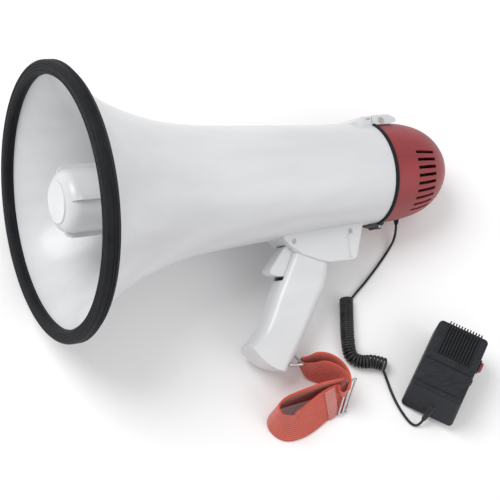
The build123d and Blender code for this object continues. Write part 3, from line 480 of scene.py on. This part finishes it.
# ------------------------------------------------------------------------------------------------
# Wrist strap
# ------------------------------------------------------------------------------------------------
STRAP_WIDE = 34 * MM
STRAP_THICK = 1.5 * MM
CELLS_ACROSS = 12
RIPPLE_LENGTH = 11 * MM
RIPPLE_SKEW = 3.0
OUTER_RIPPLE = 0.25
INNER_RIPPLE = 0.2


def ribbon(name, points, widths, heights, leans, material, thick=STRAP_THICK, ripple=0.0):
    """Webbing along the route of its lower edge. Widths and the lower edge's heights are in millimetres
    per point, and leans are how far its top edge tips to the left of the route, in degrees."""
    route = nurbs_line([Vector((p[0], p[1], h)) * MM for p, h in zip(points, heights)])
    shape = nurbs_line([Vector((w, a, 0)) for w, a in zip(widths, leans)])
    total = lengths(route)
    bm = bmesh.new()
    uv = bm.loops.layers.uv.new("UVMap")
    rows = []
    for i, (point, s) in enumerate(zip(route, shape)):
        ahead = route[min(i + 1, len(route) - 1)] - route[max(i - 1, 0)]
        flat = Vector((ahead.x, ahead.y, 0)).normalized()
        left = Vector((-flat.y, flat.x, 0))
        lean = math.radians(s.y)
        up = Vector((0, 0, 1)) * math.cos(lean) + left * math.sin(lean)
        out = left * math.cos(lean) - Vector((0, 0, 1)) * math.sin(lean)
        row = []
        for k in range(CELLS_ACROSS + 1):
            v = k / CELLS_ACROSS - 0.5
            sway = ripple * MM * math.sin(total[i] / RIPPLE_LENGTH + RIPPLE_SKEW * v) * (0.5 + abs(v))
            row.append((point + up * ((v + 0.5) * s.x * MM) + out * sway, out, (total[i], v * STRAP_WIDE)))
        rows.append(row)
    grid = [[bm.verts.new(p + o * thick / 2) for p, o, t in row] for row in rows]
    back = [[bm.verts.new(p - o * thick / 2) for p, o, t in row] for row in rows]
    texture = {}
    for verts in (grid, back):
        for row, line in zip(verts, rows):
            for vert, (p, o, t) in zip(row, line):
                texture[vert] = t

    def face(*corners):
        made = bm.faces.new(corners)
        made.smooth = True
        for loop in made.loops:
            loop[uv].uv = texture[loop.vert]

    last = len(rows) - 1
    for i in range(last):
        for k in range(CELLS_ACROSS):
            face(grid[i][k], grid[i + 1][k], grid[i + 1][k + 1], grid[i][k + 1])
            face(back[i][k], back[i][k + 1], back[i + 1][k + 1], back[i + 1][k])
        face(grid[i][0], back[i][0], back[i + 1][0], grid[i + 1][0])
        face(grid[i][-1], grid[i + 1][-1], back[i + 1][-1], back[i][-1])
    for k in range(CELLS_ACROSS):
        face(grid[0][k], grid[0][k + 1], back[0][k + 1], back[0][k])
        face(grid[last][k], back[last][k], back[last][k + 1], grid[last][k + 1])
    data = bpy.data.meshes.new(name)
    bm.to_mesh(data)
    bm.free()
    made = add_object(name, data, material)
    bevel = made.modifiers.new("edge", "BEVEL")
    bevel.width = thick * 0.3
    bevel.segments = 2
    bevel.limit_method = "ANGLE"
    return made, total[-1]


# each route follows the lower edge of its band
OUTER_ROUTE = [(17.5, -87), (20, -90), (25, -93.5), (33, -95.5), (41.5, -99.8), (48.3, -106.3),
               (52.2, -115.5), (53.2, -126), (51.4, -134.5), (44, -137.2), (32.2, -140.4),
               (18.9, -146.2), (7.9, -150.4), (-5.3, -151.9), (-14.1, -149.8), (-21, -143.0),
               (-24, -134.0), (-20.5, -126), (-12, -121.6), (2.9, -120.0), (18.1, -119.2),
               (33, -118.6), (45, -119.5)]
OUTER_WIDE = [10, 19, 30] + 20 * [34]
OUTER_HIGH = [12, 7, 1.8] + 20 * [0.9]
OUTER_LEAN = [8, 10, 12, 12, 10, 5, 0, -9, -28, -36, -36, -36, -35, -31, -27, -20, -10, 0, 2, 3, 4, 5, 5]
INNER_ROUTE = [(18.5, -90), (21, -95), (25, -101), (32, -106), (40, -110), (46.5, -114), (49.6, -119),
               (49.4, -127)]
INNER_WIDE = [10, 21, 31, 34, 34, 34, 34, 34]
INNER_HIGH = [11, 6, 1.5, 0.9, 0.9, 0.9, 0.9, 0.9]
INNER_LEAN = [-4, 5, 14, 16, 14, 8, 3, -4]
PATCH_ROUTE = [(42.0, -139.2), (37.5, -140.4), (32.0, -142.2)]
PATCH_WIDE = 3 * [33]
PATCH_HIGH = 3 * [1.6]
PATCH_LEAN = 3 * [-36]
PATCH_THICK = 1.0 * MM
GLIDE_BASE = Vector((45.2, -139.6, 2.0)) * MM
GLIDE_UP = Vector((0.21, 0.56, 0.80)).normalized()
GLIDE_ALONG = Vector((-0.94, -0.30, 0.0))
GLIDE_LONG = 38 * MM
GLIDE_WIDE = 11 * MM
GLIDE_BAR = 2.0 * MM
GLIDE_FLAT = 0.7


def make_glide():
    """The strap's slider: two end bars and three long bars of flat wire, leaning back with the strap."""
    along = (GLIDE_ALONG - GLIDE_UP * GLIDE_ALONG.dot(GLIDE_UP)).normalized()
    turn = Matrix((along, GLIDE_UP, along.cross(GLIDE_UP))).transposed().to_4x4()
    place = Matrix.Translation(GLIDE_BASE + GLIDE_UP * GLIDE_LONG / 2) @ turn
    reach = (GLIDE_WIDE - GLIDE_BAR) / 2
    rise = (GLIDE_LONG - GLIDE_BAR) / 2
    bars = [(x, 0, GLIDE_BAR, GLIDE_LONG) for x in (-reach, 0, reach)]
    bars += [(0, y, GLIDE_WIDE, GLIDE_BAR) for y in (-rise, rise)]
    bm = bmesh.new()
    for x, y, wide, long in bars:
        size = Matrix.Diagonal((wide, long, GLIDE_BAR * GLIDE_FLAT, 1))
        bmesh.ops.create_cube(bm, size=1, matrix=place @ Matrix.Translation((x, y, 0)) @ size)
    data = bpy.data.meshes.new("strap_glide")
    bm.to_mesh(data)
    bm.free()
    glide = add_object("strap_glide", data, STEEL)
    bevel = glide.modifiers.new("edge", "BEVEL")
    bevel.width = GLIDE_BAR * 0.28
    bevel.segments = 3
    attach(glide, "housing")
    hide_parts("tri_glide")


def make_strap():
    outer, outer_long = ribbon("wrist_strap_outer", OUTER_ROUTE, OUTER_WIDE, OUTER_HIGH, OUTER_LEAN, STRAP,
                               ripple=OUTER_RIPPLE)
    inner, inner_long = ribbon("wrist_strap_inner", INNER_ROUTE, INNER_WIDE, INNER_HIGH, INNER_LEAN, STRAP,
                               ripple=INNER_RIPPLE)
    patch = ribbon("wrist_strap_patch", PATCH_ROUTE, PATCH_WIDE, PATCH_HIGH, PATCH_LEAN, PATCH,
                   thick=PATCH_THICK)[0]
    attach(patch, "housing")
    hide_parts("wrist_strap")
    for piece, long, others in ((outer, outer_long, [patch]), (inner, inner_long, [])):
        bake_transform(piece)


# ------------------------------------------------------------------------------------------------
# Floor and light
# ------------------------------------------------------------------------------------------------
FLOOR_DROP = 0.3 * MM
WORLD_STRENGTH = 0.66
LIGHT_AIM = (0, 0, 0.05)


def make_floor():
    bm = bmesh.new()
    bmesh.ops.create_grid(bm, x_segments=8, y_segments=8, size=6)
    data = bpy.data.meshes.new("floor")
    bm.to_mesh(data)
    bm.free()
    floor = bpy.data.objects.new("floor", data)
    floor.location.z = -FLOOR_DROP
    bpy.context.scene.collection.objects.link(floor)
    data.materials.append(floor_paper("floor_paper"))


def area_light(name, place, size, power):
    """A round lamp turned towards a point just above the table's middle."""
    data = bpy.data.lights.new(name, "AREA")
    data.shape = "DISK"
    data.size = size
    data.energy = power
    light = bpy.data.objects.new(name, data)
    light.location = place
    light.rotation_euler = (Vector(LIGHT_AIM) - Vector(place)).to_track_quat("-Z", "Y").to_euler()
    bpy.context.scene.collection.objects.link(light)


def make_lights():
    world = bpy.data.worlds.new("studio")
    world.use_nodes = True
    world.node_tree.nodes["Background"].inputs["Color"].default_value = (1, 1, 1, 1)
    world.node_tree.nodes["Background"].inputs["Strength"].default_value = WORLD_STRENGTH
    bpy.context.scene.world = world
    area_light("key", (-0.9, 0.7, 1.7), size=1.2, power=22)
    area_light("fill", (0.9, -1.3, 1.2), size=1.6, power=8)
    bpy.context.scene.view_settings.view_transform = "Standard"


make_camera()
dress_nodes()
make_cord()
make_strap()
make_glide()
make_floor()
make_lights()
